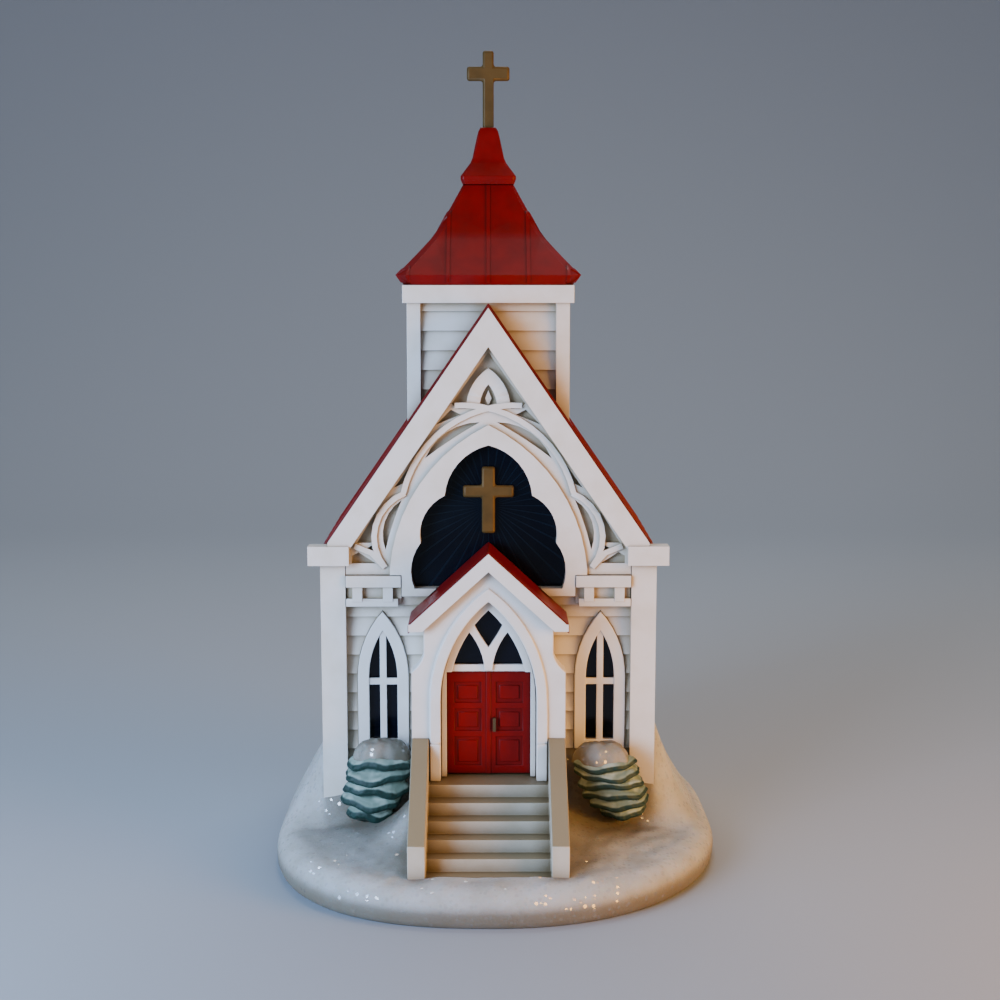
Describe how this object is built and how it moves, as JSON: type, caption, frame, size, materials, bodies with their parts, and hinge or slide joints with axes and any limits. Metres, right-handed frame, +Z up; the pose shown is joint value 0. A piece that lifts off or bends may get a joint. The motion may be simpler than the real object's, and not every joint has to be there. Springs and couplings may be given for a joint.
{
  "type": "lighted church ornament",
  "caption": "Small snow-covered church ornament with steep red roofs, a square tower and spire, a gabled porch with steps, and a battery lamp inside.",
  "frame": {"origin": "middle of the underside: centre of the bounding box at its lowest face", "axes": "+Z up to the cross on the spire, -Y towards the viewer (front gable, porch and steps), +X to the viewer's right"},
  "size_m": [0.0594, 0.0606, 0.1081],
  "materials": {
    "snow": "white glitter snow over moulded plastic",
    "white_paint": "satin white paint over moulded plastic",
    "red_paint": "glossy deep red paint over moulded plastic",
    "gold_paint": "dull gold paint over moulded plastic",
    "navy_pane": "glossy navy pane",
    "evergreen": "teal green paint dusted with snow",
    "base_plastic": "plain moulded plastic",
    "screw_steel": "plated steel",
    "cell_steel": "bright steel can",
    "contact_nickel": "nickel-plated strip",
    "brass": "polished brass",
    "board_green": "green solder mask",
    "black_plastic": "black moulded plastic",
    "lamp_epoxy": "warm white lamp body"
  },
  "bodies": {
    "church": {"snow_base": "snow", "shrub_snow_left": "snow", "shrub_snow_right": "snow", "bottom_plate": "base_plastic", "resistor": "base_plastic", "plate_screw_1": "screw_steel", "plate_screw_2": "screw_steel", "plate_screw_3": "screw_steel", "board_screw_left": "screw_steel", "board_screw_right": "screw_steel", "cell_1": "cell_steel", "cell_2": "cell_steel", "cell_3": "cell_steel", "positive_contact": "contact_nickel", "negative_contact": "contact_nickel", "circuit_board": "board_green", "chip_cap": "black_plastic", "light_switch": "black_plastic", "led_lamp": "lamp_epoxy", "front_wall": "white_paint", "gable_front": "white_paint", "string_course_left": "white_paint", "string_course_right": "white_paint", "porch_walls": "white_paint", "porch_gable_trim": "white_paint", "door_frame": "white_paint", "entrance_stairs": "white_paint", "rear_shell": "white_paint", "tower_walls": "white_paint", "lancet_frame_left": "white_paint", "lancet_frame_right": "white_paint", "rear_frame": "white_paint", "side_frame_left_1": "white_paint", "side_frame_left_2": "white_paint", "side_frame_right_1": "white_paint", "side_frame_right_2": "white_paint", "gable_window_pane": "navy_pane", "fanlight_pane": "navy_pane", "lancet_pane_left": "navy_pane", "lancet_pane_right": "navy_pane", "rear_pane": "navy_pane", "side_pane_left_1": "navy_pane", "side_pane_left_2": "navy_pane", "side_pane_right_1": "navy_pane", "side_pane_right_2": "navy_pane", "window_cross": "gold_paint", "spire_cross": "gold_paint", "porch_roof": "red_paint", "entrance_doors": "red_paint", "main_roof": "red_paint", "spire_roof": "red_paint", "spire_cap": "red_paint", "door_handle": "brass", "shrub_left": "evergreen", "shrub_right": "evergreen"},
    "button": {"push_button": "base_plastic", "switch_stem": "black_plastic"},
    "battery_door": {"battery_door": "base_plastic"},
    "door_screw": {"battery_door_screw": "screw_steel"},
    "hanger": {"hanger_loop": "brass"}
  },
  "joints": [
    {"name": "button_press", "type": "slide", "parent": "church", "child": "button", "axis": [0, -1, 0], "range_m": [0, 0.0006], "stiffness_N_per_m": 400},
    {"name": "door_hinge", "type": "hinge", "parent": "church", "child": "battery_door", "pos_m": [-0.001, 0.01505, 0.0009], "axis": [1, 0, 0], "range_deg": [0, 80]},
    {"name": "door_screw_turn", "type": "hinge", "parent": "battery_door", "child": "door_screw", "pos_m": [-0.001, 0.0017, 0.0001], "axis": [0, 0, 1], "continuous": true},
    {"name": "hanger_swing", "type": "hinge", "parent": "church", "child": "hanger", "pos_m": [-0.001, 0.0171, 0.0876], "axis": [1, 0, 0], "range_deg": [0, 150]}
  ]
}
